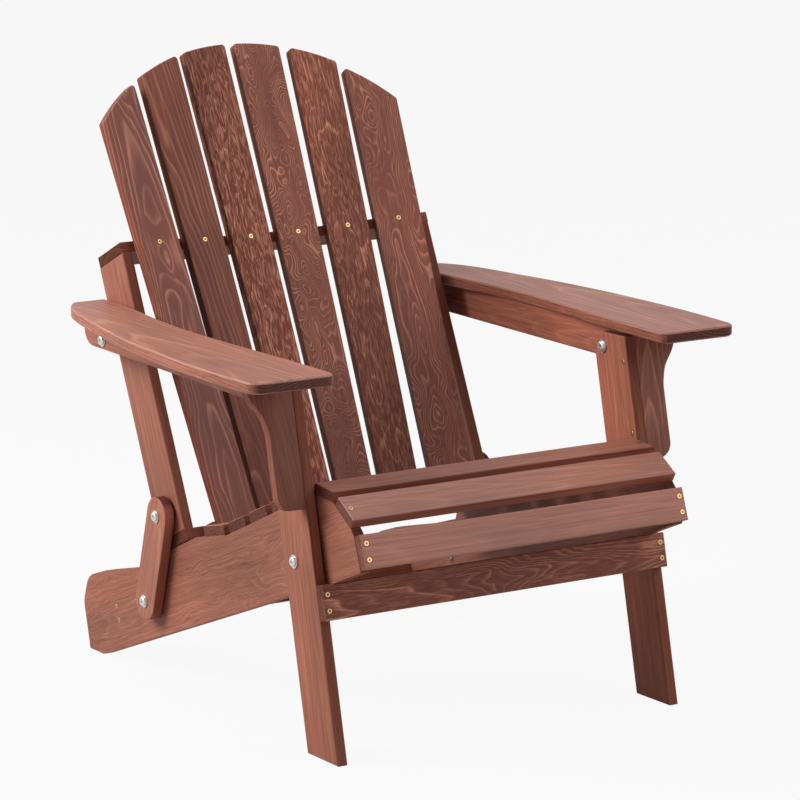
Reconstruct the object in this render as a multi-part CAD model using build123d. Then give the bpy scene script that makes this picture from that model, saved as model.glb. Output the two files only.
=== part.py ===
from build123d import *
from math import cos, hypot, radians, sin, sqrt, tan
import os

# Folding adirondack chair. Millimetres, +Z up, the sitter faces -Y.
# Side outlines are (y, z) points measured from the legs' front toes on the floor.

# Stock and layers across the width
BOARD = 15.0            # thickness of every board
HALF_SEAT = 252.0       # centre line to the seat rails' outer faces
PLAY = 3.0              # space between neighbouring layers, filled by a washer
OVERCUT = 1.0           # how far a hole's cutter runs past the piece it cuts
FIT = 0.3               # space left beside a washer or nut that turns
EASE = 1.0              # bevel on the boards' edges

# Front legs
LEG_LEAN = 11.67        # degrees back from upright
LEG_FOOT = 77.5         # length of the foot on the floor
LEG_CLEAR = 5.0         # space between the leg's top end and the armrest, above the arm pivot
LEG_ROUND = 20.0        # round at the top rear corner, about the arm pivot
STRETCHER_TOP = 235.9   # along the leg from the toe
STRETCHER_HEIGHT = 46.6

# Corbels: out from the leg's outer face, and down from the leg's top
CORBEL_LENGTH = 170.0
CORBEL_WIDTH = 40.0
CORBEL_SWEEP = [(69.0, 0.0), (66.0, 14.0), (56.0, 32.0), (46.5, 46.0), (41.5, 63.0)]
CORBEL_NECK = 82.0
CORBEL_ROUND = 21.0

# Seat rail top line, from the back bar's rest to the front end
SEAT_LINE = [(404.0, 226.5), (316.0, 246.0), (79.0, 345.0), (29.0, 341.3)]
FRONT_SLOPE = [(27.0, 339.6), (-14.0, 314.0)]
FRONT_FACE = [(-20.5, 307.3), (-35.6, 263.1)]
RAIL_CHIN = (-33.5, 260.5)
RAIL_BELLY = [(62.0, 228.5), (117.0, 208.5), (160.0, 191.0), (217.0, 169.5)]
RAIL_HEEL = [(693.0, 0.0), (736.0, 0.0), (752.0, 68.0), (736.0, 108.5), (680.0, 126.5), (575.0, 151.0)]
HEEL_ROUND = 22.0

# Seat slats
SLAT_WIDTH = 48.5
SLAT_COUNT = 4          # slats on the long stretch of the seat line
SLAT_MARGINS = (9.8, 6.55)
REAR_SLAT = (25.7, 59.0)
FRONT_SLAT_WIDTH = 45.0
REAR_STRETCHER = (645.3, 71.0)
REAR_STRETCHER_HEIGHT = 43.0
REAR_STRETCHER_LEAN = 21.5

# Back frame: s runs up the posts, n forward of the posts' front edges
BACK_LEAN = 23.85
BACK_FOOT = 335.4
POST_WIDTH = 77.0
POST_LOW = 253.0
POST_HIGH = 653.7
BAR_DEPTH = 75.0
REST_LENGTH = 15.0      # the bottom bar's rest on the rails, from its rear edge
REST_STEP = 2.0         # relief in the rail in front of the rest, for the bar to swing clear
REST_DROP = 16.0        # step down behind the rest
REST_HEEL = 4.0         # slope of that step
HORN_REACH = 30.0
HORN_HALF = 222.0
BAR_NOSE = 6.0

# Back slats: x and n of the front face's centre line at s = 250 and s = 900, widths, turn
SLAT_LOW = 250.0
SLAT_HIGH = 900.0
SLAT_FOOT = 238.0
BACK_SLATS = {
    "inner": (32.8, 42.3, -3.0, -12.6, 56.0, 71.0, 2.9),
    "middle": (102.5, 125.7, 2.0, -2.7, 57.5, 69.5, 7.4),
    "outer": (176.6, 208.0, 26.0, 3.7, 66.6, 73.0, 11.4),
}
CROWN_TOP = 951.5
CROWN_RADIUS = 324.0
CROWN_ROUND = 5.0

# Arms; an armrest's outline is (out from the seat rail's outer face, y)
ARM_LEAN = 1.146        # degrees, rising towards the back
ARM_BASE = 452.7        # underside of the arm rail at the toes
ARM_RAIL_HEIGHT = 44.7
ARM_REACH = (28.0, 56.3)    # arm rail in front of its leg pivot, and behind its back pivot
ARM_ROUND = 24.0
REST_EDGE = 2.0
REST_NOSE = [(3.0, 10.0), (124.0, 10.0)]
REST_INNER = [(6.0, 140.0), (13.0, 260.0), (17.0, 380.0), (14.0, 460.0), (5.0, 545.0)]
REST_TAIL = [(2.5, 655.0), (52.0, 655.0)]
REST_OUTER = [(70.0, 625.0), (94.0, 530.0), (112.0, 430.0), (124.0, 320.0), (130.0, 210.0)]
REST_NOSE_ROUNDS = (14.0, 21.0)
REST_TAIL_ROUND = 12.0

# Pivots and links
PIVOT_LEG = (101.8, 253.0)          # leg and seat rail, as (y, z)
ARM_PIVOT = (20.712, 19.699)        # in from the leg's rear edge, up from the arm rail's underside
BACK_PIVOT = (50.023, 13.264)       # in from the post's front edge, up from the arm rail's underside
POST_PIVOT = (38.957, 30.348)       # in from the post's front edge, up from its lower end
LINK_LENGTH = 135.321
LINK_LEAN = 17.859                  # degrees back from upright, going down
LINK_ROUND = 27.0

# Pivot hardware
BOLT = 8.0
BOLT_PLAY = 0.08
HEAD = (14.0, 3.6)
WASHER = (18.0, 1.6)
SPACER_WASHER = 20.0
SPACER_TUBE = 22.0
NUT = (13.0, 6.5)
INSERT = 12.0
THREAD_END = 3.0

# Layer positions that follow from the sizes above
RAIL_IN = HALF_SEAT - BOARD
LEG_IN = HALF_SEAT + PLAY
LEG_OUT = LEG_IN + BOARD
ARM_IN = LEG_OUT + PLAY
ARM_OUT = ARM_IN + BOARD
HOLE = BOLT / 2 + BOLT_PLAY
LEG_SLOPE = tan(radians(LEG_LEAN))
SEAT_STRETCH = hypot(SEAT_LINE[2][0] - SEAT_LINE[1][0], SEAT_LINE[2][1] - SEAT_LINE[1][1])
SLAT_PITCH = (SEAT_STRETCH - sum(SLAT_MARGINS) - SLAT_WIDTH) / (SLAT_COUNT - 1)
BACK = Plane(
    origin=(0, BACK_FOOT, 0),
    x_dir=(1, 0, 0),
    z_dir=(0, -cos(radians(BACK_LEAN)), sin(radians(BACK_LEAN))),
)
LEG_FRONT = Plane(
    origin=(0, 0, 0),
    x_dir=(1, 0, 0),
    z_dir=(0, -cos(radians(LEG_LEAN)), sin(radians(LEG_LEAN))),
)


def back_point(n, s):
    """A point of the back frame as (y, z)."""
    lean = radians(BACK_LEAN)
    return (BACK_FOOT + s * sin(lean) - n * cos(lean), s * cos(lean) + n * sin(lean))


def along(start, end, distance, lift=0.0):
    """A point on a line from start to end, lifted off it to the right-hand side of travel."""
    length = hypot(end[0] - start[0], end[1] - start[1])
    dy, dz = (end[0] - start[0]) / length, (end[1] - start[1]) / length
    return (start[0] + dy * distance + dz * lift, start[1] + dz * distance - dy * lift)


def arm_line(y, height):
    """Height of a line parallel to the arm, at a distance from the toes."""
    return ARM_BASE + y * tan(radians(ARM_LEAN)) + height


def arm_crossing(foot, lean, height):
    """Where a line that leans back from a foot on the floor crosses a line parallel to the arm."""
    slope = tan(radians(lean))
    z = arm_line(foot, height) / (1 - slope * tan(radians(ARM_LEAN)))
    return (foot + slope * z, z)


PIVOT_ARM = arm_crossing(LEG_FOOT - ARM_PIVOT[0], LEG_LEAN, ARM_PIVOT[1])
PIVOT_BACK = arm_crossing(BACK_FOOT + BACK_PIVOT[0], BACK_LEAN, BACK_PIVOT[1])
PIVOT_POST = back_point(-POST_PIVOT[0], POST_LOW + POST_PIVOT[1])
PIVOT_LINK = (
    PIVOT_POST[0] + LINK_LENGTH * sin(radians(LINK_LEAN)),
    PIVOT_POST[1] - LINK_LENGTH * cos(radians(LINK_LEAN)),
)
LEG_TOP = arm_line(PIVOT_ARM[0], ARM_RAIL_HEIGHT) - LEG_CLEAR


def rounded(points, rounds):
    """A closed outline with the corners at the given points rounded."""
    sketch = Polygon(*points, align=None)
    for (u, v), radius in rounds.items():
        corner = sketch.vertices().sort_by_distance((u, v, 0))[0]
        sketch = fillet(corner, radius)
    return sketch


def side_board(outline, inner, outer):
    """A board standing in the side plane, between two distances from the centre line."""
    return extrude(Plane.YZ.offset(inner) * outline, amount=outer - inner, dir=(1, 0, 0))


def eased(solid, size=EASE):
    """The same board with the edges of its two broad faces bevelled."""
    broad = solid.faces().sort_by(SortBy.AREA)[-2:]
    return chamfer(broad[0].edges() + broad[1].edges(), size)


def rod(pivot, diameter, start, end):
    """A round bar across the width at a pivot."""
    middle = (start + end) / 2
    return Pos(middle, pivot[0], pivot[1]) * Rot(0, 90, 0) * Cylinder(diameter / 2, end - start)


def drilled(solid, *pivots):
    """A board with clearance holes for the bolts at the given pivots."""
    for pivot in pivots:
        solid = solid - rod(pivot, 2 * HOLE, 0, 2 * ARM_OUT)
    return solid


def ring(pivot, diameter, start, end):
    """A washer or tube with a clearance hole."""
    return rod(pivot, diameter, start, end) - rod(pivot, 2 * HOLE, start - OVERCUT, end + OVERCUT)


def bolt(pivot, head_at, tip_at):
    """A round-headed bolt whose head sits outside head_at and whose shank ends at tip_at."""
    outward = 1 if head_at > tip_at else -1
    shank = rod(pivot, BOLT, min(head_at, tip_at), max(head_at, tip_at))
    top = head_at + outward * HEAD[1]
    head = rod(pivot, HEAD[0], min(head_at, top), max(head_at, top))
    crown = head.faces().sort_by(Axis.X)[-1 if outward > 0 else 0]
    return shank + fillet(crown.edges(), HEAD[1] * 0.7)


def nut(pivot, start, end):
    """A hexagon nut on a bolt."""
    across = NUT[0] / 2 / cos(radians(30))
    outline = Pos(pivot[0], pivot[1]) * RegularPolygon(across, 6)
    return side_board(outline, start, end) - rod(pivot, 2 * HOLE, start - OVERCUT, end + OVERCUT)


def mirrored(solid):
    """The same piece on the other side of the chair."""
    return mirror(solid, about=Plane.YZ)


def seat_rail():
    """Seat side that runs from the front down to the rear foot."""
    bar_back = BAR_NOSE - BAR_DEPTH
    rest_back = back_point(bar_back, SLAT_FOOT)
    rest_front = back_point(bar_back + REST_LENGTH, SLAT_FOOT)
    relief = back_point(bar_back + REST_LENGTH + REST_STEP, SLAT_FOOT - REST_STEP)
    stop_back = along((0, 0), (LEG_SLOPE, 1), STRETCHER_TOP)
    stop_front = along((0, 0), (LEG_SLOPE, 1), STRETCHER_TOP, -BOARD)
    step = (rest_back[0] + REST_HEEL, rest_back[1] - REST_DROP)
    points = RAIL_HEEL + [step, rest_back, rest_front, relief]
    points += SEAT_LINE + FRONT_SLOPE + FRONT_FACE + [RAIL_CHIN, stop_front, stop_back] + RAIL_BELLY
    rounds = {RAIL_HEEL[2]: HEEL_ROUND, RAIL_HEEL[3]: HEEL_ROUND * 1.6}
    board = side_board(rounded(points, rounds), RAIL_IN, HALF_SEAT)
    return drilled(board, PIVOT_LEG, PIVOT_LINK)


def seat_slat(start, end, distance, width):
    """A slat lying on a straight stretch of the rails' top line."""
    corners = [
        along(start, end, distance),
        along(start, end, distance + width),
        along(start, end, distance + width, BOARD),
        along(start, end, distance, BOARD),
    ]
    return eased(side_board(Polygon(*corners, align=None), -HALF_SEAT, HALF_SEAT))


def centred_slat(line, width):
    """A slat in the middle of a straight stretch."""
    length = hypot(line[1][0] - line[0][0], line[1][1] - line[0][1])
    return seat_slat(line[0], line[1], (length - width) / 2, width)


def rear_stretcher():
    """Cross board that ties the seat rails near the rear feet."""
    board = Box(2 * RAIL_IN, BOARD, REAR_STRETCHER_HEIGHT)
    return Pos(0, *REAR_STRETCHER) * Rot(-REAR_STRETCHER_LEAN, 0, 0) * eased(board)


def front_leg():
    """Leaning leg, rounded about the arm pivot at its top rear corner."""
    top_rear = (LEG_FOOT + LEG_TOP * LEG_SLOPE, LEG_TOP)
    points = [(0, 0), (LEG_FOOT, 0), top_rear, (LEG_TOP * LEG_SLOPE, LEG_TOP)]
    board = side_board(rounded(points, {top_rear: LEG_ROUND}), LEG_IN, LEG_OUT)
    return drilled(eased(board), PIVOT_LEG, PIVOT_ARM)


def front_stretcher():
    """Board across the legs' front edges, the stop under the seat rails."""
    middle = STRETCHER_TOP - STRETCHER_HEIGHT / 2
    return LEG_FRONT * Pos(0, middle, BOARD / 2) * eased(Box(2 * LEG_OUT, STRETCHER_HEIGHT, BOARD))


def corbel():
    """Shaped bracket on the leg's outer face, under the armrest."""
    head = LEG_TOP / cos(radians(LEG_LEAN))
    foot = head - CORBEL_LENGTH
    edge = LEG_OUT + CORBEL_WIDTH
    neck = (edge, head - CORBEL_NECK)
    sweep = [(LEG_OUT + out, head - down) for out, down in CORBEL_SWEEP]
    outline = Polyline(neck, (edge, foot), (LEG_OUT, foot), (LEG_OUT, head), sweep[0])
    face = make_face([outline, Spline(*sweep, neck, tangents=[(-0.1, -1), (0, -1)])])
    face = fillet(face.vertices().sort_by_distance((edge, foot, 0))[0], CORBEL_ROUND)
    return eased(extrude(LEG_FRONT * face, amount=BOARD, dir=-LEG_FRONT.z_dir))


def arm_rail():
    """Side board under an armrest, from the leg to the back post."""
    front = PIVOT_ARM[0] - ARM_REACH[0]
    back = PIVOT_BACK[0] + ARM_REACH[1]
    tail = (back, arm_line(back, 0))
    points = [
        (front, arm_line(front, 0)),
        tail,
        (back, arm_line(back, ARM_RAIL_HEIGHT)),
        (front, arm_line(front, ARM_RAIL_HEIGHT)),
    ]
    board = side_board(rounded(points, {tail: ARM_ROUND}), ARM_IN, ARM_OUT)
    return drilled(eased(board), PIVOT_ARM, PIVOT_BACK)


def armrest():
    """Wide shaped board on top of the arm rail."""
    inner = Spline(REST_NOSE[0], *REST_INNER, REST_TAIL[0])
    tail = Line(*REST_TAIL)
    outer = Spline(REST_TAIL[1], *REST_OUTER, REST_NOSE[1])
    face = make_face([inner, tail, outer, Line(*reversed(REST_NOSE))])
    rounds = dict(zip(REST_NOSE, REST_NOSE_ROUNDS)) | {REST_TAIL[1]: REST_TAIL_ROUND}
    for (x, y), radius in rounds.items():
        face = fillet(face.vertices().sort_by_distance((x, y, 0))[0], radius)
    board = eased(extrude(face, amount=BOARD, dir=(0, 0, 1)), REST_EDGE)
    return Pos(HALF_SEAT, 0, arm_line(0, ARM_RAIL_HEIGHT)) * Rot(ARM_LEAN, 0, 0) * board


def post():
    """Upright of the back frame."""
    board = eased(Box(BOARD, POST_HIGH - POST_LOW, POST_WIDTH))
    board = BACK * Pos(HALF_SEAT - BOARD / 2, (POST_LOW + POST_HIGH) / 2, -POST_WIDTH / 2) * board
    return drilled(board, PIVOT_POST) - rod(PIVOT_BACK, INSERT, RAIL_IN - OVERCUT, HALF_SEAT + OVERCUT)


def slat_frame(kind):
    """Plane on a back slat's rear face, x across towards the outside and y up the slat, and its length."""
    x_low, x_high, n_low, n_high, *_, turn = BACK_SLATS[kind]
    low = BACK.from_local_coords(Vector(x_low, SLAT_LOW, n_low))
    high = BACK.from_local_coords(Vector(x_high, SLAT_HIGH, n_high))
    up = (high - low).normalized()
    across = Vector(1, 0, 0) * cos(radians(turn)) + BACK.z_dir * sin(radians(turn))
    across = (across - up * across.dot(up)).normalized()
    front = across.cross(up)
    return Plane(origin=low - front * BOARD, x_dir=across, z_dir=front), (high - low).length


def slat_edge(kind, height, edge, extra=0.0):
    """A point of a back slat's outline: edge -1 or 1 for its sides, 0 for its middle."""
    width_low, width_high = BACK_SLATS[kind][4:6]
    width = width_low + (width_high - width_low) * height / slat_frame(kind)[1]
    return (edge * (width / 2 + extra), height)


def crown_point(kind, edge):
    """Where an edge of a back slat, or its middle, meets the crown of the whole back."""
    plane, length = slat_frame(kind)
    low, high = (
        BACK.to_local_coords(plane.from_local_coords(Vector(*slat_edge(kind, height, edge))))
        for height in (0.0, length)
    )
    dx, ds = high.X - low.X, high.Y - low.Y
    rise = low.Y - (CROWN_TOP - CROWN_RADIUS)
    a = dx * dx + ds * ds
    b = low.X * dx + rise * ds
    c = low.X * low.X + rise * rise - CROWN_RADIUS * CROWN_RADIUS
    share = (sqrt(b * b - a * c) - b) / a
    return slat_edge(kind, share * length, edge)


def back_slat(kind):
    """Tapered slat with its top rounded to the crown of the whole back."""
    plane = slat_frame(kind)[0]
    foot = SLAT_FOOT - SLAT_LOW
    inner_top, middle_top, outer_top = (crown_point(kind, edge) for edge in (-1, 0, 1))
    sides = Polyline(inner_top, slat_edge(kind, foot, -1), slat_edge(kind, foot, 1), outer_top)
    face = make_face([sides, ThreePointArc(outer_top, middle_top, inner_top)])
    for u, v in (inner_top, outer_top):
        face = fillet(face.vertices().sort_by_distance((u, v, 0))[0], CROWN_ROUND)
    return eased(extrude(plane * face, amount=BOARD, dir=plane.z_dir))


def slat_seats(solid):
    """A cross bar of the back with its front edge cut to seat each slat."""
    for kind in BACK_SLATS:
        plane, length = slat_frame(kind)
        places = ((-4 * BOARD, -1), (-4 * BOARD, 1), (length, 1), (length, -1))
        corners = [slat_edge(kind, height, edge, BOARD / 2) for height, edge in places]
        cutter = extrude(plane * Polygon(*corners, align=None), amount=6 * BOARD, dir=plane.z_dir)
        solid = solid - cutter - mirrored(cutter)
    return solid


def top_bar():
    """Flat board on the posts' top ends, hollowed in front to curve the back."""
    board = BACK * Pos(0, POST_HIGH + BOARD / 2, -BAR_DEPTH / 2) * Box(2 * HALF_SEAT, BOARD, BAR_DEPTH)
    return slat_seats(board)


def bottom_bar():
    """Flat board under the posts that rests on the seat rails."""
    middle = (POST_LOW + SLAT_FOOT) / 2
    height = POST_LOW - SLAT_FOOT
    ends = BACK * Pos(0, middle, BAR_NOSE - BAR_DEPTH / 2) * Box(2 * HALF_SEAT, height, BAR_DEPTH)
    horns = BACK * Pos(0, middle, HORN_REACH / 2) * Box(2 * HORN_HALF, height, HORN_REACH)
    return slat_seats(ends + horns)


def link():
    """Short board that carries the back on the seat rail."""
    middle = along(PIVOT_POST, PIVOT_LINK, LINK_LENGTH / 2)
    outline = Pos(*middle) * Rot(0, 0, 90 + LINK_LEAN) * SlotCenterToCenter(LINK_LENGTH, 2 * LINK_ROUND)
    return drilled(eased(side_board(outline, LEG_IN, LEG_OUT)), PIVOT_POST, PIVOT_LINK)


def turning_bolt(pivot):
    """Bolt, washer, spacing washer and nut of a pivot through the rail or post layer."""
    under_head = LEG_OUT + WASHER[1]
    face = RAIL_IN - FIT
    return {
        "bolts": bolt(pivot, under_head, face - WASHER[1] - NUT[1] - THREAD_END),
        "washers": [
            ring(pivot, WASHER[0], LEG_OUT, under_head),
            ring(pivot, SPACER_WASHER, HALF_SEAT + FIT, LEG_IN),
            ring(pivot, WASHER[0], face - WASHER[1], face),
        ],
        "nuts": nut(pivot, face - WASHER[1] - NUT[1], face - WASHER[1]),
    }


def group(*solids):
    """Several separate solids as one node."""
    return Compound(children=[solid for item in solids for solid in item.solids()])


nodes = {}
for side, place in (("left", lambda solid: solid), ("right", mirrored)):
    nodes[f"{side}_seat_rail"] = place(seat_rail())
    nodes[f"{side}_front_leg"] = place(front_leg())
    nodes[f"{side}_corbel"] = place(corbel())
    nodes[f"{side}_arm_rail"] = place(arm_rail())
    nodes[f"{side}_armrest"] = place(armrest())
    nodes[f"{side}_back_post"] = place(post())
    nodes[f"{side}_link"] = place(link())
    for kind in BACK_SLATS:
        nodes[f"{side}_{kind}_back_slat"] = place(back_slat(kind))

    post_pivot, link_pivot = turning_bolt(PIVOT_POST), turning_bolt(PIVOT_LINK)
    nodes[f"{side}_link_bolts"] = place(group(post_pivot["bolts"], link_pivot["bolts"]))
    nodes[f"{side}_link_washers"] = place(group(*post_pivot["washers"], *link_pivot["washers"]))
    nodes[f"{side}_link_nuts"] = place(group(post_pivot["nuts"], link_pivot["nuts"]))

    inner_face = LEG_IN - FIT
    outer_face = ARM_OUT + WASHER[1]
    tip = outer_face + NUT[1] + THREAD_END
    nodes[f"{side}_arm_bolt"] = place(bolt(PIVOT_ARM, inner_face - WASHER[1], tip))
    nodes[f"{side}_back_bolt"] = place(bolt(PIVOT_BACK, outer_face, HALF_SEAT + FIT))
    nodes[f"{side}_arm_washers"] = place(group(
        ring(PIVOT_ARM, WASHER[0], inner_face - WASHER[1], inner_face),
        ring(PIVOT_ARM, SPACER_WASHER, LEG_OUT + FIT, ARM_IN),
        ring(PIVOT_ARM, WASHER[0], ARM_OUT, outer_face),
        ring(PIVOT_BACK, WASHER[0], ARM_OUT, outer_face),
    ))
    nodes[f"{side}_arm_nut"] = place(nut(PIVOT_ARM, outer_face, outer_face + NUT[1]))
    nodes[f"{side}_arm_spacer"] = place(ring(PIVOT_BACK, SPACER_TUBE, HALF_SEAT + FIT, ARM_IN))

leg_pivot = turning_bolt(PIVOT_LEG)
for kind in ("bolts", "nuts"):
    nodes[f"leg_{kind}"] = group(leg_pivot[kind], mirrored(leg_pivot[kind]))
leg_washers = group(*leg_pivot["washers"])
nodes["leg_washers"] = group(leg_washers, mirrored(leg_washers))
insert = rod(PIVOT_BACK, INSERT, RAIL_IN, HALF_SEAT)
nodes["back_pivot_inserts"] = group(insert, mirrored(insert))

nodes["seat_slat_1"] = seat_slat(SEAT_LINE[0], SEAT_LINE[1], *REAR_SLAT)
for index in range(SLAT_COUNT):
    start = SLAT_MARGINS[0] + index * SLAT_PITCH
    nodes[f"seat_slat_{index + 2}"] = seat_slat(SEAT_LINE[1], SEAT_LINE[2], start, SLAT_WIDTH)
nodes[f"seat_slat_{SLAT_COUNT + 2}"] = centred_slat(SEAT_LINE[2:], SLAT_WIDTH)
nodes["seat_nose_slat"] = centred_slat(FRONT_SLOPE, FRONT_SLAT_WIDTH)
nodes["seat_front_apron"] = centred_slat(FRONT_FACE, FRONT_SLAT_WIDTH)
nodes["rear_stretcher"] = rear_stretcher()
nodes["front_stretcher"] = front_stretcher()
nodes["back_top_bar"] = top_bar()
nodes["back_bottom_bar"] = bottom_bar()

# The origin goes to the floor, under the middle of the chair's width and depth.
boxes = [solid.bounding_box() for solid in nodes.values()]
middle = (min(box.min.Y for box in boxes) + max(box.max.Y for box in boxes)) / 2
os.makedirs("parts", exist_ok=True)
for name, solid in nodes.items():
    export_step(Pos(0, -middle, 0) * solid, f"parts/{name}.step")
print("origin lies", round(middle, 3), "mm behind the toes")
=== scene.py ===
import math

import bmesh
import bpy
import numpy as np
from bpy.props import FloatProperty, FloatVectorProperty, PointerProperty
from bpy.types import Operator, Panel, PropertyGroup
from mathutils import Matrix, Vector
from mathutils.bvhtree import BVHTree


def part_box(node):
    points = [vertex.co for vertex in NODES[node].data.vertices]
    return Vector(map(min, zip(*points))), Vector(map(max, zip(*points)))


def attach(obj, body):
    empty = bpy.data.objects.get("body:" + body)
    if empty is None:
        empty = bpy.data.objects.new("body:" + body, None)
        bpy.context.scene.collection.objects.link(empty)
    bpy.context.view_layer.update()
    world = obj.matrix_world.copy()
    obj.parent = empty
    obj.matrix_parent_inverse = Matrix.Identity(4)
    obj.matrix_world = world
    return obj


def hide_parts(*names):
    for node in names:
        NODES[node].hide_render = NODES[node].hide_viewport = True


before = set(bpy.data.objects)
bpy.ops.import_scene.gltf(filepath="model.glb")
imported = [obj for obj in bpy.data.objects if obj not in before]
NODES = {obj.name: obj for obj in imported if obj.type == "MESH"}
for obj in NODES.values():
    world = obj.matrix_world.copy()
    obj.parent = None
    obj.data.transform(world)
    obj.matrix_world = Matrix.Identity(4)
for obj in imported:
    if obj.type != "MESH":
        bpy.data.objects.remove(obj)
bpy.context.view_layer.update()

bl_info = {
    "name": "Folding adirondack chair",
    "version": (1, 0, 0),
    "blender": (4, 5, 0),
    "location": "View3D > Sidebar > Adirondack",
    "description": "Stains the boards of a folding garden chair and fits its screws, bolts and stage",
    "category": "Object",
}

SIDES = {"left": 1, "right": -1}
METAL_WORDS = ("bolt", "washer", "nut", "spacer", "insert")
METAL_NODES = [name for name in sorted(NODES) if any(word in name for word in METAL_WORDS)]
WOOD_NODES = [name for name in sorted(NODES) if name not in METAL_NODES]

# Pivots as (y, z), the distances of the bolt heads' seats from the centre line, and the bolts' lengths (m)
TOE = -0.350905
LEG_PIVOT = (TOE + 0.1018, 0.2530)
ARM_PIVOT = (TOE + 0.1550, 0.4755)
BACK_PIVOT = (TOE + 0.5967, 0.4779)
POST_PIVOT = (TOE + 0.4856, 0.2434)
LINK_PIVOT = (TOE + 0.5271, 0.1146)
SIDE_SEAT, ARM_SEAT, BACK_SEAT = 0.2716, 0.2531, 0.2896
LONG_SHANK, SHORT_SHANK = 0.0460, 0.0373

# Pan-head bolts (m)
BOLT_HEAD_RADIUS, BOLT_HEAD_HEIGHT, BOLT_HEAD_ROUND = 0.0070, 0.0036, 0.0024
BOLT_RECESS = dict(width=0.0070, thickness=0.0015, low=0.0012, high=0.0045)
BOLT_RADIUS, SHANK_OVERLAP = 0.0040, 0.0006
THREAD_LENGTH, THREAD_TURNS, THREAD_ROOT = 0.0160, 12, 0.86

# Wood screws with the dark rim of painted shadow round them (m), and the turn of a head's recess from one copy
# to the next
SCREW_RADIUS, SCREW_DEPTH, SCREW_PROUD, SCREW_ROUND, SCREW_TAPER = 0.0035, 0.0024, 0.0003, 0.0003, 0.6
SCREW_RECESS = dict(width=0.0046, thickness=0.0015, low=-0.0014, high=0.0008)
RIM_RADIUS, RIM_DEPTH, RIM_PROUD, RIM_WIDTH, RIM_SLOPE = 0.0042, 0.0008, 0.00012, 0.0009, 0.0004
FIRST_TURN, NEXT_TURN = 0.4, 0.9

# Screw places (m): lines on the rails and posts and on the legs, half the distance between two screws, and
# single screws at the rails' heels and behind the corbels as (y from the toe, z)
RAIL_LINE, LEG_LINE = 0.2445, 0.2625
BOARD_PAIR, BAR_PAIR = 0.0107, 0.018
HEEL_SCREWS = ((0.6490, 0.0800), (0.6416, 0.0610))
CORBEL_SCREWS = ((0.1065, 0.4602), (0.0857, 0.3640))

# Waves per metre along, across and through a board
BEND_WAVES, PATCH_WAVES, KNOT_WAVES = (2.6, 15.0, 15.0), (3.4, 11.0, 11.0), (6.5, 22.0, 22.0)
STAIN_WAVES, CLOUD_WAVES = (6.0, 34.0, 34.0), (4.0, 13.0, 13.0)
FLECK_WAVES, FIBRE_WAVES, STREAK_WAVES = (60.0, 430.0, 430.0), (9.0, 750.0, 750.0), (3.0, 250.0, 250.0)

# Pale share across one ring, from early to late wood, and swelling away from a knot's middle
RING_PROFILE = ((0.0, 0.0), (0.45, 0.06), (0.70, 0.45), (0.84, 1.0), (0.95, 0.20), (1.0, 0.0))
KNOT_PROFILE = ((0.05, 1.0), (0.22, 0.45), (0.48, 0.0))
FIBRE_SHARE, STREAK_SHARE, FIGURE_LEVEL = 0.50, 0.42, 0.18
END_SHADE, SAWN_DULLNESS = 0.60, 0.75

# Where the boards start along the trunk (m), heights between which the back is painted darker towards the seat
# as shade (m), rounding of the edges (m), and relief of the grain
TRUNK_FIRST, TRUNK_STEP, TRUNK_STARTS = -1.9, 0.37, 11
SEAT_SHADE = (0.36, 0.62)
EDGE_ROUND, RELIEF_STRENGTH, RELIEF_DEPTH = 0.0016, 0.35, 0.0005

# Floor size (m), its grey, and the share of white that the camera sees of it
FLOOR_SIZE, FLOOR_GREY, FLOOR_GLOW = 80.0, 0.5, 0.925
LIGHT_AIM = Vector((0.0, 0.0, 0.4))
CAMERA_PLACE = Vector((-2.671356, -4.443344, 1.381958))
CAMERA_RIGHT = Vector((0.85147896, -0.52418477, -0.01462535))
CAMERA_UP = Vector((0.110021, 0.15130814, 0.98234476))
SENSOR_WIDTH = 36.0

# Settings of the grain that go straight into the node group, under the names of its sockets
GRAIN_SOCKETS = {
    "tone": "Tone", "ground": "Ground", "contrast": "Contrast", "ring": "Ring spacing", "taper": "Taper",
    "bend": "Bend", "curl": "Curl", "knots": "Knots", "fleck": "Fleck", "gloss": "Gloss", "edge": "Sawn edge shade",
}
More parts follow.
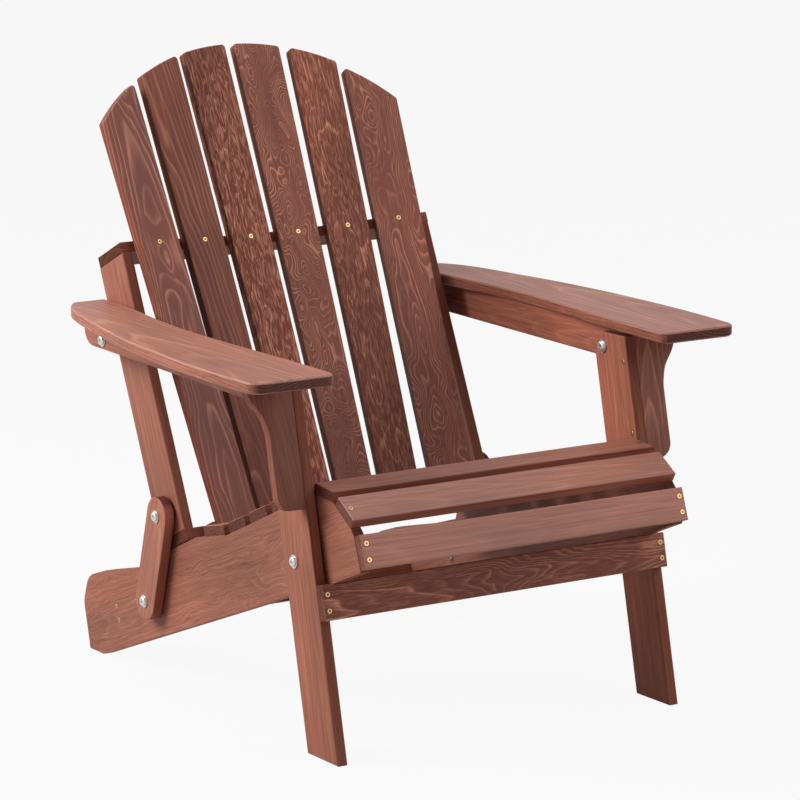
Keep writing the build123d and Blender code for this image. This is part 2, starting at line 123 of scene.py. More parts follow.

# Grain of the boards: tone and pale share of the stain, contrast of the figure, ring spacing (m), pith across
# and below the face (m), taper of the trunk, slow bend of the grain (m), close curl of the grain (m) with its
# waves per metre along and across, swelling at knots (m), share of short flecks, gloss, and shares of the tone
# kept on the sawn edges and near the seat. The tone was fitted board by board to the lit colour, so it carries
# painted light and shade as well as the stain; the shares on the sawn edges and near the seat are painted
# shade.
# A board keeps the calm grain where its row says nothing
CALM = dict(tone=0.97, ground=0.22, contrast=0.20, ring=0.0030, pith=(0.012, 0.060), taper=0.03, bend=0.014,
            curl=0.0015, waves=(18, 48), knots=0.0, fleck=0.15, gloss=0.3, edge=1.0, seat=1.0)
GRAIN = {
    "right_outer_back_slat": dict(
        tone=1.14, ground=0.17, contrast=1.05, ring=0.0056, pith=(-0.004, 0.040), taper=0.050, bend=0.026,
        curl=0.0030, knots=0.020, fleck=0.0, gloss=0.47, edge=0.8, seat=0.8),
    "right_middle_back_slat": dict(
        tone=1.12, ground=0.16, contrast=0.72, ring=0.0044, pith=(0.030, 0.050), taper=0.045, bend=0.022,
        curl=0.0040, knots=0.004, fleck=0.0, gloss=0.28, edge=0.55, seat=0.8),
    "right_inner_back_slat": dict(
        tone=1.12, ground=0.15, contrast=1.35, ring=0.0024, pith=(0.004, 0.100), bend=0.018, curl=0.0140,
        waves=(24, 110), knots=0.006, fleck=0.65, gloss=0.20, edge=0.55),
    "left_inner_back_slat": dict(
        tone=1.27, ground=0.17, contrast=1.05, ring=0.0011, pith=(0.010, 0.250), taper=0.020, bend=0.030,
        curl=0.0280, waves=(22, 34), fleck=0.05, gloss=0.37, edge=0.55, seat=0.7),
    "left_middle_back_slat": dict(
        tone=1.19, ground=0.14, contrast=1.30, ring=0.0022, pith=(-0.006, 0.080), taper=0.035, bend=0.024,
        curl=0.0180, waves=(20, 76), knots=0.008, fleck=0.50, gloss=0.26, edge=0.55, seat=0.56),
    "left_outer_back_slat": dict(
        tone=1.22, ground=0.16, contrast=1.10, ring=0.0015, pith=(0.012, 0.120), bend=0.034, curl=0.0200,
        waves=(20, 40), knots=0.006, fleck=0.15, gloss=0.40, edge=0.55, seat=0.60),
    "right_seat_rail": dict(
        tone=0.98, contrast=0.32, ring=0.0022, bend=0.024, curl=0.0120, knots=0.006, fleck=0.25, gloss=0.21),
    # Toned darker than the right seat rail: partly its stain, partly painted shade
    "left_seat_rail": dict(
        tone=0.76, contrast=0.32, ring=0.0022, bend=0.024, curl=0.0120, knots=0.006, fleck=0.25, gloss=0.34),
    "right_armrest": dict(tone=1.08, pith=(0.030, 0.120), contrast=0.55, ring=0.0040, bend=0.012, gloss=1.00),
    "left_armrest": dict(tone=0.93, pith=(-0.030, 0.120), contrast=0.50, ring=0.0040, bend=0.012, gloss=0.80),
    "right_front_leg": dict(tone=1.03, gloss=0.18),
    "left_front_leg": dict(tone=1.10, gloss=0.14),
    "left_arm_rail": dict(tone=1.06, gloss=0.10),
    "front_stretcher": dict(
        tone=1.24, ground=0.16, contrast=1.1, ring=0.0014, curl=0.0080, waves=(13, 60), knots=0.004, fleck=0.25,
        gloss=0.35),
    "seat_nose_slat": dict(tone=1.13, gloss=0.90),
    "seat_front_apron": dict(tone=1.38, contrast=0.12, bend=0.008, gloss=0.80),
    "back_top_bar": dict(tone=0.84, gloss=0.05),
    "right_corbel": dict(tone=0.93, gloss=0.29),
    "left_corbel": dict(tone=0.98, contrast=0.7, ring=0.0060, pith=(0.010, 0.030), taper=0.08, gloss=0.37),
    "right_back_post": dict(tone=0.95, gloss=0.25),
    # Toned darker than the right back post: partly its stain, partly painted shade
    "left_back_post": dict(tone=0.70, gloss=0.20),
    "right_link": dict(tone=1.22, gloss=0.38),
    "seat_slat_6": dict(tone=0.89, gloss=0.37),
    "right_arm_rail": dict(tone=1.00, gloss=0.25),
}


class ADIRONDACK_PG_finish(PropertyGroup):
    """Stain and metal finishes."""

    stain_deep: FloatVectorProperty(
        name="Deep stain", description="Colour of the soft early wood, which takes the most stain",
        subtype="COLOR", default=(0.218, 0.059, 0.0365), min=0.0, max=1.0)
    stain_pale: FloatVectorProperty(
        name="Pale stain", description="Colour of the hard late wood lines, which take the least stain",
        subtype="COLOR", default=(0.808, 0.344, 0.217), min=0.0, max=1.0)
    steel: FloatVectorProperty(
        name="Zinc", description="Colour of the plated bolts and washers",
        subtype="COLOR", default=(0.74, 0.73, 0.71), min=0.0, max=1.0)
    brass: FloatVectorProperty(
        name="Brass", description="Colour of the wood screws",
        subtype="COLOR", default=(0.68, 0.48, 0.21), min=0.0, max=1.0)


class ADIRONDACK_PG_stage(PropertyGroup):
    """Floor, light and camera."""

    backdrop: FloatVectorProperty(
        name="Backdrop", description="Colour of the floor and the background",
        subtype="COLOR", default=(0.955, 0.955, 0.955), min=0.0, max=1.0)
    ambient: FloatProperty(
        name="Ambient light", description="Strength of the even light from all round", default=0.08, min=0.0)
    key: FloatProperty(
        name="Key light", description="Power of the large light at the left, a little behind the chair",
        subtype="POWER", unit="POWER", default=134.0, min=0.0)
    top: FloatProperty(
        name="Top light", description="Power of the light above the chair",
        subtype="POWER", unit="POWER", default=32.0, min=0.0)
    fill: FloatProperty(
        name="Fill light", description="Power of the soft light in front, at the camera's right",
        subtype="POWER", unit="POWER", default=42.0, min=0.0)
    lens: FloatProperty(
        name="Lens", description="Focal length of the camera", unit="CAMERA", default=171.34, min=1.0)


def put(tree, kind, sockets=None, **options):
    """Adds a node, sets its options, and fills or links its input sockets."""
    node = tree.nodes.new(kind)
    for option, value in options.items():
        setattr(node, option, value)
    for socket, value in (sockets or {}).items():
        if isinstance(value, bpy.types.NodeSocket):
            tree.links.new(value, node.inputs[socket])
        else:
            node.inputs[socket].default_value = value
    return node


def vector_math(tree, operation, first, second=None, scale=None):
    """Output of a vector math node."""
    sockets = {0: first}
    if second is not None:
        sockets[1] = second
    if scale is not None:
        sockets["Scale"] = scale
    node = put(tree, "ShaderNodeVectorMath", sockets, operation=operation)
    return node.outputs["Value" if operation == "LENGTH" else "Vector"]


def number(tree, operation, first, second=None, clamp=False):
    """Output of a math node."""
    sockets = {0: first}
    if second is not None:
        sockets[1] = second
    return put(tree, "ShaderNodeMath", sockets, operation=operation, use_clamp=clamp).outputs[0]


def stretched_noise(tree, board, stretch, detail=2.0, roughness=0.5):
    """Noise whose grains are long along the board: its node."""
    place = vector_math(tree, "MULTIPLY", board, stretch)
    return put(tree, "ShaderNodeTexNoise",
               {"Vector": place, "Scale": 1.0, "Detail": detail, "Roughness": roughness})


def lifted(tree, value, scale, offset):
    """A value scaled and lifted."""
    node = put(tree, "ShaderNodeMath", {0: value, 1: scale, 2: offset}, operation="MULTIPLY_ADD")
    return node.outputs[0]


def ramp(tree, factor, stops):
    """Output of a grey ramp with the given (position, value) stops."""
    node = put(tree, "ShaderNodeValToRGB", {"Fac": factor})
    marks = node.color_ramp.elements
    while len(marks) < len(stops):
        marks.new(0.5)
    for mark, (position, value) in zip(marks, stops):
        mark.position = position
        mark.color = (value, value, value, 1.0)
    return node.outputs["Color"]


def fir_grain(finish):
    """Node group that turns a place in a board into its stained colour, roughness, shine and relief; the colour
    also carries painted shade on the sawn edges and painted light and shade through the tone.
    """
    tree = bpy.data.node_groups.new("Stained fir grain", "ShaderNodeTree")
    for name in ("Board", "Facing", "Waves"):
        tree.interface.new_socket(name, in_out="INPUT", socket_type="NodeSocketVector")
    for name in GRAIN_SOCKETS.values():
        tree.interface.new_socket(name, in_out="INPUT", socket_type="NodeSocketFloat")
    for name, kind in (("Color", "Color"), ("Roughness", "Float"), ("Specular", "Float"), ("Relief", "Float")):
        tree.interface.new_socket(name, in_out="OUTPUT", socket_type="NodeSocket" + kind)
    given = tree.nodes.new("NodeGroupInput").outputs
    board = given["Board"]
    half = (0.5, 0.5, 0.5)

    # The trunk's rings, bent slowly along the board, curled in figured patches, and swollen round knots
    bent = stretched_noise(tree, board, BEND_WAVES).outputs["Color"]
    bent = vector_math(tree, "SCALE", vector_math(tree, "SUBTRACT", bent, half), scale=given["Bend"])
    patches = stretched_noise(tree, board, PATCH_WAVES).outputs["Fac"]
    patches = number(tree, "MULTIPLY", ramp(tree, patches, ((0.40, 0.15), (0.58, 1.0))), given["Curl"])
    curled = stretched_noise(tree, board, given["Waves"], detail=0.4).outputs["Color"]
    curled = vector_math(tree, "SCALE", vector_math(tree, "SUBTRACT", curled, half), scale=patches)
    place = vector_math(tree, "ADD", vector_math(tree, "ADD", board, bent), curled)
    radius = vector_math(tree, "LENGTH", vector_math(tree, "MULTIPLY", place, (0.0, 1.0, 1.0)))
    along = put(tree, "ShaderNodeSeparateXYZ", {0: place}).outputs["X"]
    radius = number(tree, "ADD", radius, number(tree, "MULTIPLY", along, given["Taper"]))
    knot = put(tree, "ShaderNodeTexVoronoi", {
        "Vector": vector_math(tree, "MULTIPLY", place, KNOT_WAVES), "Scale": 1.0, "Smoothness": 0.4},
        feature="SMOOTH_F1").outputs["Distance"]
    knot = ramp(tree, knot, KNOT_PROFILE)
    radius = number(tree, "ADD", radius, number(tree, "MULTIPLY", knot, given["Knots"]))
    ring = number(tree, "DIVIDE", radius, given["Ring spacing"])
    late = ramp(tree, number(tree, "FRACT", ring), RING_PROFILE)
    vigour = put(tree, "ShaderNodeTexWhiteNoise", {"W": number(tree, "FLOOR", ring)}, noise_dimensions="1D")
    late = number(tree, "MULTIPLY", late, lifted(tree, vigour.outputs["Value"], 0.7, 0.3))

    # Stain that takes unevenly, lines broken into short flecks, and fine fibres
    taken = stretched_noise(tree, board, STAIN_WAVES).outputs["Fac"]
    lines = number(tree, "MULTIPLY", late, ramp(tree, taken, ((0.34, 0.35), (0.60, 1.0))))
    fleck = stretched_noise(tree, place, FLECK_WAVES, detail=1.0).outputs["Fac"]
    fleck = ramp(tree, fleck, ((0.47, 0.0), (0.54, 1.0)))
    dashes = number(tree, "MULTIPLY", fleck, lifted(tree, late, 0.55, 0.45))
    figure = put(tree, "ShaderNodeMix", {"Factor": given["Fleck"], "A": lines, "B": dashes}, data_type="FLOAT")
    figure = lifted(tree, figure.outputs["Result"], 1.0, -FIGURE_LEVEL)
    facing = put(tree, "ShaderNodeSeparateXYZ", {0: given["Facing"]}).outputs
    ends = ramp(tree, number(tree, "ABSOLUTE", facing["X"]), ((0.72, 0.0), (0.92, 1.0)))
    sawn = ramp(tree, number(tree, "ABSOLUTE", facing["Z"]), ((0.10, 1.0), (0.60, 0.0)))
    figure = number(tree, "MULTIPLY", figure, number(tree, "MAXIMUM", given["Contrast"], ends))
    fibre = stretched_noise(tree, place, FIBRE_WAVES, detail=3.0, roughness=0.6).outputs["Fac"]
    streak = stretched_noise(tree, place, STREAK_WAVES).outputs["Fac"]
    cloud = stretched_noise(tree, board, CLOUD_WAVES).outputs["Fac"]

    pale = number(tree, "ADD", given["Ground"], figure)
    pale = number(tree, "ADD", pale, lifted(tree, fibre, FIBRE_SHARE, -FIBRE_SHARE / 2))
    pale = number(tree, "ADD", pale, lifted(tree, streak, STREAK_SHARE, -STREAK_SHARE / 2), clamp=True)
    colour = put(tree, "ShaderNodeMix", {"Factor": pale}, data_type="RGBA")
    colour.inputs["A"].default_value = (*finish.stain_deep, 1.0)
    colour.inputs["B"].default_value = (*finish.stain_pale, 1.0)
    # Lightness: the stain's cloudy tone times the board's tone, which also carries painted light and shade
    # fitted board by board
    light = number(tree, "MULTIPLY", lifted(tree, cloud, 1.0, 0.5), given["Tone"])
    light = number(tree, "MULTIPLY", light, lifted(tree, ends, -END_SHADE, 1.0))
    # Painted shade: the sawn edges, the sides in the narrow gaps between the back slats, keep only the given
    # share of the lightness
    edge = put(tree, "ShaderNodeMix", {"Factor": sawn, "A": 1.0, "B": given["Sawn edge shade"]}, data_type="FLOAT")
    light = number(tree, "MULTIPLY", light, edge.outputs["Result"])
    colour = vector_math(tree, "SCALE", colour.outputs["Result"], scale=light)

    relief = number(tree, "ADD", number(tree, "MULTIPLY", late, 0.5), number(tree, "MULTIPLY", fibre, 0.5))
    shine = number(tree, "MULTIPLY", lifted(tree, sawn, -SAWN_DULLNESS, 1.0), given["Gloss"])
    put(tree, "NodeGroupOutput", {
        "Color": colour, "Roughness": lifted(tree, pale, -0.14, 0.56), "Specular": shine, "Relief": relief})
    return tree


def board_axes(node):
    """A board's middle, and its directions along the grain, across the face and through the thickness."""
    mesh = NODES[node].data
    mesh.calc_loop_triangles()
    points = np.array([vertex.co for vertex in mesh.vertices])
    corners = points[np.array([triangle.vertices for triangle in mesh.loop_triangles])]
    areas = np.array([triangle.area for triangle in mesh.loop_triangles])
    middle = Vector(np.average(corners.mean(axis=1), axis=0, weights=areas))
    corners = corners - np.array(middle)
    total = corners.sum(axis=1)
    spread = np.einsum("t,tvi,tvj->ij", areas, corners, corners) + np.einsum("t,ti,tj->ij", areas, total, total)
    axes = np.linalg.eigh(spread)[1]
    along, across = (Vector(axes[:, column] * np.sign(axes[np.abs(axes[:, column]).argmax(), column]))
                     for column in (2, 1))
    return middle, along, across, along.cross(across)


def shaded(name):
    """A new material with its tree and its surface shader."""
    material = bpy.data.materials.new(name)
    material.use_nodes = True
    return material, material.node_tree, material.node_tree.nodes["Principled BSDF"]


def dress(node, material):
    """Gives a CAD node one material."""
    slots = NODES[node].data.materials
    slots.clear()
    slots.append(material)


class ADIRONDACK_OT_stain_boards(Operator):
    """Give every board its own length of stained fir, with the grain along it"""

    bl_idname = "adirondack.stain_boards"
    bl_label = "Stain the boards"

    def execute(self, context):
        grain = fir_grain(context.scene.adirondack_finish)
        for index, name in enumerate(WOOD_NODES):
            look = CALM | GRAIN.get(name, {})
            middle, along, across, through = board_axes(name)
            turn = Matrix((along, across, through))
            pith = Vector((TRUNK_STEP * (index % TRUNK_STARTS) + TRUNK_FIRST, *look["pith"]))
            material, tree, surface = shaded("Fir_" + name)
            given = put(tree, "ShaderNodeTexCoord").outputs
            place = put(tree, "ShaderNodeMapping", {
                "Vector": given["Object"], "Rotation": turn.to_euler(), "Location": pith - turn @ middle})
            facing = put(tree, "ShaderNodeMapping", {
                "Vector": given["Normal"], "Rotation": turn.to_euler()}, vector_type="VECTOR")
            wood = put(tree, "ShaderNodeGroup", node_tree=grain)
            tree.links.new(place.outputs[0], wood.inputs["Board"])
            tree.links.new(facing.outputs[0], wood.inputs["Facing"])
            for key, socket in GRAIN_SOCKETS.items():
                wood.inputs[socket].default_value = look[key]
            lengthwise, crosswise = look["waves"]
            wood.inputs["Waves"].default_value = (lengthwise, crosswise, crosswise)
            # Painted shade: a back slat's tone falls towards the seat, between the SEAT_SHADE heights, for the
            # shade low on the back
            if look["seat"] < 1.0:
                height = put(tree, "ShaderNodeSeparateXYZ", {0: given["Object"]}).outputs["Z"]
                painted_seat_shade = put(tree, "ShaderNodeMapRange", {
                    "Value": height, "From Min": SEAT_SHADE[0], "From Max": SEAT_SHADE[1],
                    "To Min": look["tone"] * look["seat"], "To Max": look["tone"]})
                tree.links.new(painted_seat_shade.outputs[0], wood.inputs["Tone"])
            edge = put(tree, "ShaderNodeBevel", {"Radius": EDGE_ROUND}, samples=4)
            bump = put(tree, "ShaderNodeBump", {
                "Strength": RELIEF_STRENGTH, "Distance": RELIEF_DEPTH,
                "Height": wood.outputs["Relief"], "Normal": edge.outputs[0]})
            tree.links.new(wood.outputs["Color"], surface.inputs["Base Color"])
            tree.links.new(wood.outputs["Roughness"], surface.inputs["Roughness"])
            tree.links.new(wood.outputs["Specular"], surface.inputs["Specular IOR Level"])
            tree.links.new(bump.outputs[0], surface.inputs["Normal"])
            dress(name, material)
        return {"FINISHED"}


def back_frame():
    """The back's directions up the posts and to the front."""
    up = board_axes("left_back_post")[1]
    return up, up.cross(Vector((-1, 0, 0)))


def painted_bore_shadow():
    """Painted shadow: a dark colour for the shaded gap round a countersunk screw and inside its recess."""
    material, tree, surface = shaded("Countersink_shadow")
    place = put(tree, "ShaderNodeTexCoord").outputs["Object"]
    cloud = put(tree, "ShaderNodeTexNoise", {"Vector": place, "Scale": 900.0, "Detail": 2.0})
    shade = put(tree, "ShaderNodeMix", {"Factor": cloud.outputs["Fac"]}, data_type="RGBA")
    shade.inputs["A"].default_value = (0.030, 0.012, 0.008, 1.0)
    shade.inputs["B"].default_value = (0.070, 0.026, 0.016, 1.0)
    tree.links.new(shade.outputs["Result"], surface.inputs["Base Color"])
    surface.inputs["Roughness"].default_value = 0.8
    return material


def plated(name, colour, roughness):
    """Plated metal with a slightly uneven polish."""
    material, tree, surface = shaded(name)
    place = put(tree, "ShaderNodeTexCoord").outputs["Object"]
    cloud = put(tree, "ShaderNodeTexNoise", {"Vector": place, "Scale": 420.0, "Detail": 4.0})
    polish = put(tree, "ShaderNodeMapRange", {
        "Value": cloud.outputs["Fac"], "To Min": roughness - 0.10, "To Max": roughness + 0.14})
    shade = put(tree, "ShaderNodeMix", {"Factor": cloud.outputs["Fac"]}, data_type="RGBA")
    shade.inputs["A"].default_value = (*[0.72 * c for c in colour], 1.0)
    shade.inputs["B"].default_value = (*colour, 1.0)
    tree.links.new(shade.outputs["Result"], surface.inputs["Base Color"])
    tree.links.new(polish.outputs[0], surface.inputs["Roughness"])
    surface.inputs["Metallic"].default_value = 1.0
    return material


class ADIRONDACK_OT_plate_hardware(Operator):
    """Give the washers, nuts, spacers and inserts a zinc finish"""

    bl_idname = "adirondack.plate_hardware"
    bl_label = "Plate the hardware"

    def execute(self, context):
        zinc = plated("Zinc_plate", context.scene.adirondack_finish.steel, 0.34)
        for name in METAL_NODES:
            dress(name, zinc)
        return {"FINISHED"}


def only(*pieces):
    """Selects these objects alone and makes the first one active."""
    bpy.ops.object.select_all(action="DESELECT")
    for piece in pieces:
        piece.select_set(True)
    bpy.context.view_layer.objects.active = pieces[0]


def pick(piece, test, kind="FACE"):
    """In edit mode, selects the vertices, edges or faces whose middle passes a test."""
    bpy.ops.mesh.select_all(action="DESELECT")
    bpy.ops.mesh.select_mode(type=kind)
    mesh = bmesh.from_edit_mesh(piece.data)
    for item in {"VERT": mesh.verts, "EDGE": mesh.edges, "FACE": mesh.faces}[kind]:
        corners = [item] if kind == "VERT" else item.verts
        middle = sum((corner.co for corner in corners), Vector()) / len(corners)
        item.select_set(test(middle))
    mesh.select_flush_mode()
    bmesh.update_edit_mesh(piece.data)


def settled(piece):
    """Puts an object's place, turn and size into its mesh."""
    only(piece)
    bpy.ops.object.transform_apply(location=True, rotation=True, scale=True)
    return piece


def stub(radius, low, high):
    """A short round bar between two heights."""
    bpy.ops.mesh.primitive_cylinder_add(
        vertices=48, radius=radius, depth=high - low, location=(0.0, 0.0, (low + high) / 2))
    return settled(bpy.context.object)


def cross_recess(head, width, thickness, low, high):
    """Cuts a cross recess with tapered wings into the top of a head."""
    for turn in (0.0, math.pi / 2):
        bpy.ops.mesh.primitive_cube_add(size=1.0, location=(0.0, 0.0, (low + high) / 2))
        cutter = bpy.context.object
        cutter.scale = (width, thickness, high - low)
        settled(cutter)
        bpy.ops.object.mode_set(mode="EDIT")
        pick(cutter, lambda place: place.z < (low + high) / 2, "VERT")
        bpy.ops.transform.resize(value=(0.55, 0.7, 1.0), center_override=(0.0, 0.0, low))
        bpy.ops.object.mode_set(mode="OBJECT")
        cutter.rotation_euler.z = turn
        settled(cutter)
        only(head)
        cut = head.modifiers.new("Recess", "BOOLEAN")
        cut.operation = "DIFFERENCE"
        cut.object = cutter
        bpy.ops.object.modifier_apply(modifier=cut.name)
        only(cutter)
        bpy.ops.object.delete()


def pan_bolt(length):
    """A pan-head bolt along Z with a cross recess and a threaded tip; its head's seat is at the origin."""
    head = stub(BOLT_HEAD_RADIUS, 0.0, BOLT_HEAD_HEIGHT)
    bpy.ops.object.mode_set(mode="EDIT")
    pick(head, lambda place: place.z > 0.9 * BOLT_HEAD_HEIGHT, "EDGE")
    bpy.ops.mesh.bevel(offset=BOLT_HEAD_ROUND, segments=5, affect="EDGES")
    bpy.ops.object.mode_set(mode="OBJECT")
    cross_recess(head, **BOLT_RECESS)
    plain = length - THREAD_LENGTH
    pitch = THREAD_LENGTH / THREAD_TURNS
    shank = stub(BOLT_RADIUS, -plain, SHANK_OVERLAP)
    bpy.ops.object.mode_set(mode="EDIT")
    pick(shank, lambda place: place.z < -0.9 * plain)
    for _ in range(THREAD_TURNS):
        for size in (THREAD_ROOT, 1 / THREAD_ROOT):
            bpy.ops.mesh.extrude_region_move(TRANSFORM_OT_translate={"value": (0.0, 0.0, -pitch / 2)})
            bpy.ops.transform.resize(value=(size, size, 1.0), center_override=(0.0, 0.0, 0.0))
    bpy.ops.object.mode_set(mode="OBJECT")
    only(head, shank)
    bpy.ops.object.join()
    bpy.ops.object.shade_smooth_by_angle(angle=math.radians(32))
    return head


def fitted(master, name, spots):
    """Copies of a master at (place, outward direction) spots, joined into one piece."""
    copies = []
    for index, (place, outward) in enumerate(spots):
        only(master)
        bpy.ops.object.duplicate()
        turn = Vector(outward).to_track_quat("Z", "Y").to_matrix().to_4x4()
        spin = Matrix.Rotation(FIRST_TURN + NEXT_TURN * index, 4, "Z")
        copy = bpy.context.object
        copy.matrix_world = Matrix.Translation(place) @ turn @ spin
        copies.append(settled(copy))
    only(*copies)
    if len(copies) > 1:
        bpy.ops.object.join()
    piece = bpy.context.object
    piece.name = name
    piece.data.name = name
    return piece


def dropped(master):
    """Removes a master once its copies are in place."""
    only(master)
    bpy.ops.object.delete()


class ADIRONDACK_OT_pivot_bolts(Operator):
    """Fit the cross-recessed pan-head bolts that the legs, arms, links and back turn on"""

    bl_idname = "adirondack.pivot_bolts"
    bl_label = "Fit the pivot bolts"

    def execute(self, context):
        zinc = bpy.data.materials["Zinc_plate"]
        long_bolt, short_bolt = pan_bolt(LONG_SHANK), pan_bolt(SHORT_SHANK)
        jobs = [("leg_bolts", "legs", long_bolt,
                 [((way * SIDE_SEAT, *LEG_PIVOT), (way, 0, 0)) for way in SIDES.values()])]
        for side, way in SIDES.items():
            jobs += [
                (side + "_link_bolts", side + "_link", long_bolt,
                 [((way * SIDE_SEAT, *pivot), (way, 0, 0)) for pivot in (POST_PIVOT, LINK_PIVOT)]),
                (side + "_arm_bolt", side + "_arm", long_bolt,
                 [((way * ARM_SEAT, *ARM_PIVOT), (-way, 0, 0))]),
                (side + "_back_bolt", side + "_arm", short_bolt,
                 [((way * BACK_SEAT, *BACK_PIVOT), (way, 0, 0))]),
            ]
        for node, body, master, spots in jobs:
            piece = fitted(master, "pan_head_" + node, spots)
            piece.data.materials.append(zinc)
            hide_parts(node)
            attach(piece, body)
        dropped(long_bolt)
        dropped(short_bolt)
        return {"FINISHED"}


def on_board(node, start, towards):
    """Where a line from a point meets a board, and the board's outward direction there."""
    mesh = NODES[node].data
    tree = BVHTree.FromPolygons(
        [vertex.co for vertex in mesh.vertices], [face.vertices for face in mesh.polygons])
    place, normal, *_ = tree.ray_cast(Vector(start), Vector(towards))
    if place is None:
        raise RuntimeError("no board under a screw on " + node)
    return place, normal


def screw_spots():
    """Places of the wood screws on the back, the seat and the legs, as (place, outward direction)."""
    spots = {"back": [], "seat": [], "legs": []}
    up, front = back_frame()
    for bar in ("back_top_bar", "back_bottom_bar"):
        low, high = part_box(bar)
        centre = (low + high) / 2
        for name in WOOD_NODES:
            if name.endswith("back_slat"):
                middle, along, *_ = board_axes(name)
                place = middle + along * ((centre - middle).dot(up) / along.dot(up))
                spots["back"].append(on_board(name, place + front * 0.08, -front))
        way = up if bar == "back_top_bar" else -up
        for x in (-RAIL_LINE, RAIL_LINE):
            for shift in (-BAR_PAIR, BAR_PAIR):
                start = centre + Vector((x, 0, 0)) + front * shift + way * 0.1
                spots["back"].append(on_board(bar, start, -way))
    for name in WOOD_NODES:
        if name.startswith("seat_") or name == "front_stretcher":
            middle, along, across, through = board_axes(name)
            outward = through if through.z - through.y > 0 else -through
            body, line = ("legs", LEG_LINE) if name == "front_stretcher" else ("seat", RAIL_LINE)
            paired = name in ("front_stretcher", "seat_front_apron")
            for x in (-line, line):
                for shift in (-BOARD_PAIR, BOARD_PAIR) if paired else (0.0,):
                    start = middle + Vector((x - middle.x, 0, 0)) + across * shift + outward * 0.05
                    spots[body].append(on_board(name, start, -outward))
    for side, way in SIDES.items():
        for y, z in HEEL_SCREWS:
            spots["seat"].append(on_board(side + "_seat_rail", (way * 0.4, TOE + y, z), (-way, 0, 0)))
        for y, z in CORBEL_SCREWS:
            spots["legs"].append(on_board(side + "_front_leg", (0, TOE + y, z), (way, 0, 0)))
    return spots


class ADIRONDACK_OT_wood_screws(Operator):
    """Drive brass countersunk screws through the slats, stretchers and bars"""

    bl_idname = "adirondack.wood_screws"
    bl_label = "Drive the wood screws"

    def execute(self, context):
        finish = context.scene.adirondack_finish
        head = stub(SCREW_RADIUS, -SCREW_DEPTH, SCREW_PROUD)
        bpy.ops.object.mode_set(mode="EDIT")
        pick(head, lambda place: place.z < 0.0, "VERT")
        bpy.ops.transform.resize(value=(SCREW_TAPER, SCREW_TAPER, 1.0), center_override=(0.0, 0.0, 0.0))
        pick(head, lambda place: place.z > 0.9 * SCREW_PROUD, "EDGE")
        bpy.ops.mesh.bevel(offset=SCREW_ROUND, segments=2, affect="EDGES")
        bpy.ops.object.mode_set(mode="OBJECT")
        cross_recess(head, **SCREW_RECESS)
        bpy.ops.object.shade_smooth_by_angle(angle=math.radians(30))
        shade = painted_bore_shadow()
        head.data.materials.append(plated("Brass", finish.brass, 0.30))
        head.data.materials.append(shade)
        # The faces inside the recess get the painted shadow colour
        for face in head.data.polygons:
            x, y, z = face.center
            face.material_index = int(-0.0016 < z < 0.0 and math.hypot(x, y) < 0.0026)
        # Painted shadow: a thin dark rim round the head, where the countersink's gap is in shade
        shadow_rim = stub(RIM_RADIUS, -RIM_DEPTH, RIM_PROUD)
        bpy.ops.object.mode_set(mode="EDIT")
        pick(shadow_rim, lambda place: place.z > 0.9 * RIM_PROUD)
        bpy.ops.mesh.inset(thickness=RIM_WIDTH)
        bpy.ops.transform.translate(value=(0.0, 0.0, -RIM_SLOPE))
        bpy.ops.object.mode_set(mode="OBJECT")
        shadow_rim.data.materials.append(shade)
        only(head, shadow_rim)
        bpy.ops.object.join()
        for body, places in screw_spots().items():
            piece = fitted(head, body + "_wood_screws", places)
            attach(piece, body)
        dropped(head)
        return {"FINISHED"}


def in_sight(tree):
    """One for rays from the camera, by way of a mirror or through glass too, and nought for the rest."""
    path = put(tree, "ShaderNodeLightPath").outputs
    indirect = number(tree, "MAXIMUM", path["Is Glossy Ray"], path["Is Transmission Ray"])
    return number(tree, "MAXIMUM", path["Is Camera Ray"], indirect)


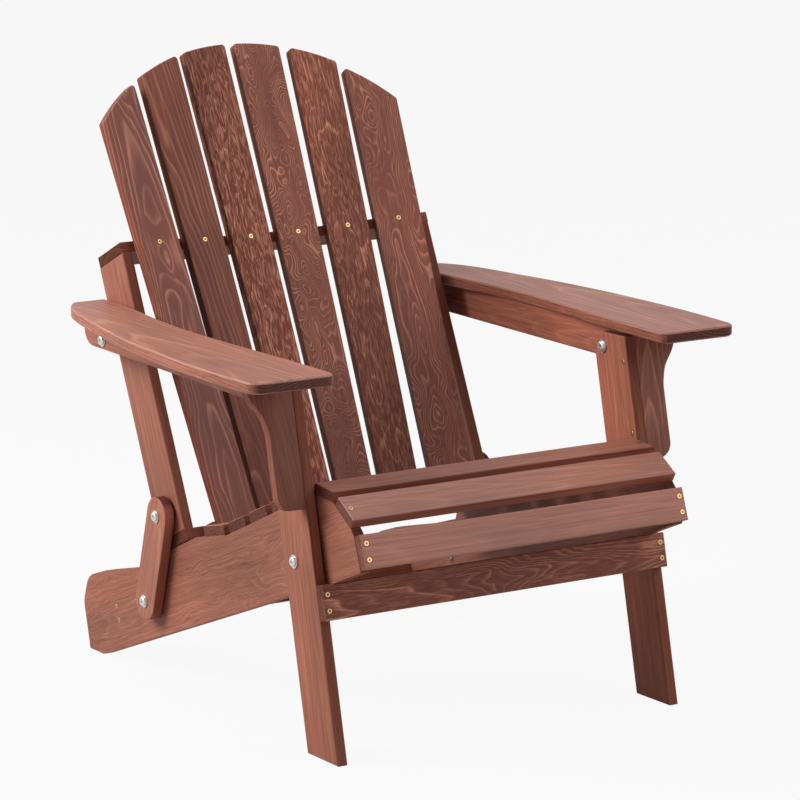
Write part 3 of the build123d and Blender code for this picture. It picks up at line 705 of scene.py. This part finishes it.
class ADIRONDACK_OT_stage(Operator):
    """Add the floor, the soft lights and the camera at the photograph's place"""

    bl_idname = "adirondack.stage"
    bl_label = "Set the stage"

    def execute(self, context):
        look = context.scene.adirondack_stage
        bpy.ops.object.select_all(action="DESELECT")
        bpy.ops.mesh.primitive_plane_add(size=FLOOR_SIZE, location=(0.0, 0.0, 0.0))
        floor = context.object
        floor.name = "studio_floor"
        material, tree, surface = shaded("Studio_floor")
        surface.inputs["Base Color"].default_value = (FLOOR_GREY, FLOOR_GREY, FLOOR_GREY, 1.0)
        surface.inputs["Roughness"].default_value = 0.9
        surface.inputs["Specular IOR Level"].default_value = 0.0
        glow = put(tree, "ShaderNodeEmission", {"Color": (1.0, 1.0, 1.0, 1.0), "Strength": 1.0})
        share = number(tree, "MULTIPLY", in_sight(tree), FLOOR_GLOW)
        mix = put(tree, "ShaderNodeMixShader", {0: share, 1: surface.outputs[0], 2: glow.outputs[0]})
        tree.links.new(mix.outputs[0], tree.nodes["Material Output"].inputs["Surface"])
        floor.data.materials.append(material)

        world = bpy.data.worlds.new("Studio")
        world.use_nodes = True
        context.scene.world = world
        air = world.node_tree
        strength = put(air, "ShaderNodeMix", {
            "Factor": in_sight(air), "A": look.ambient, "B": 1.0}, data_type="FLOAT")
        sky = air.nodes["Background"]
        sky.inputs["Color"].default_value = (*look.backdrop, 1.0)
        air.links.new(strength.outputs["Result"], sky.inputs["Strength"])

        for name, power, place, size in (
            ("Key_light", look.key, (-2.8, 1.5, 2.2), 2.0),
            ("Top_light", look.top, (0.0, -0.2, 3.8), 2.6),
            ("Fill_light", look.fill, (2.2, -2.8, 2.4), 2.6),
        ):
            bpy.ops.object.light_add(type="AREA", location=place)
            lamp = context.object
            lamp.name = name
            lamp.data.energy = power
            lamp.data.size = size
            lamp.rotation_euler = (LIGHT_AIM - Vector(place)).to_track_quat("-Z", "Y").to_euler()

        bpy.ops.object.camera_add()
        camera = context.object
        turn = Matrix((CAMERA_RIGHT, CAMERA_UP, CAMERA_RIGHT.cross(CAMERA_UP))).transposed()
        camera.matrix_world = Matrix.Translation(CAMERA_PLACE) @ turn.to_4x4()
        camera.data.lens = look.lens
        camera.data.sensor_width = SENSOR_WIDTH
        context.scene.camera = camera
        context.scene.view_settings.view_transform = "Standard"
        return {"FINISHED"}


OPERATORS = (
    ADIRONDACK_OT_stain_boards,
    ADIRONDACK_OT_plate_hardware,
    ADIRONDACK_OT_pivot_bolts,
    ADIRONDACK_OT_wood_screws,
    ADIRONDACK_OT_stage,
)


class ADIRONDACK_PT_chair(Panel):
    """The chair's finishes and pieces"""

    bl_idname = "ADIRONDACK_PT_chair"
    bl_label = "Adirondack chair"
    bl_space_type = "VIEW_3D"
    bl_region_type = "UI"
    bl_category = "Adirondack"

    def draw(self, context):
        for settings in (context.scene.adirondack_finish, context.scene.adirondack_stage):
            for name in settings.__annotations__:
                self.layout.prop(settings, name)
        for operator in OPERATORS:
            self.layout.operator(operator.bl_idname)


CLASSES = (ADIRONDACK_PG_finish, ADIRONDACK_PG_stage, *OPERATORS, ADIRONDACK_PT_chair)


def register():
    for item in CLASSES:
        bpy.utils.register_class(item)
    bpy.types.Scene.adirondack_finish = PointerProperty(type=ADIRONDACK_PG_finish)
    bpy.types.Scene.adirondack_stage = PointerProperty(type=ADIRONDACK_PG_stage)


def unregister():
    del bpy.types.Scene.adirondack_stage
    del bpy.types.Scene.adirondack_finish
    for item in reversed(CLASSES):
        bpy.utils.unregister_class(item)


def main():
    register()
    bpy.ops.adirondack.stain_boards()
    bpy.ops.adirondack.plate_hardware()
    bpy.ops.adirondack.pivot_bolts()
    bpy.ops.adirondack.wood_screws()
    bpy.ops.adirondack.stage()


if __name__ == "__main__":
    main()
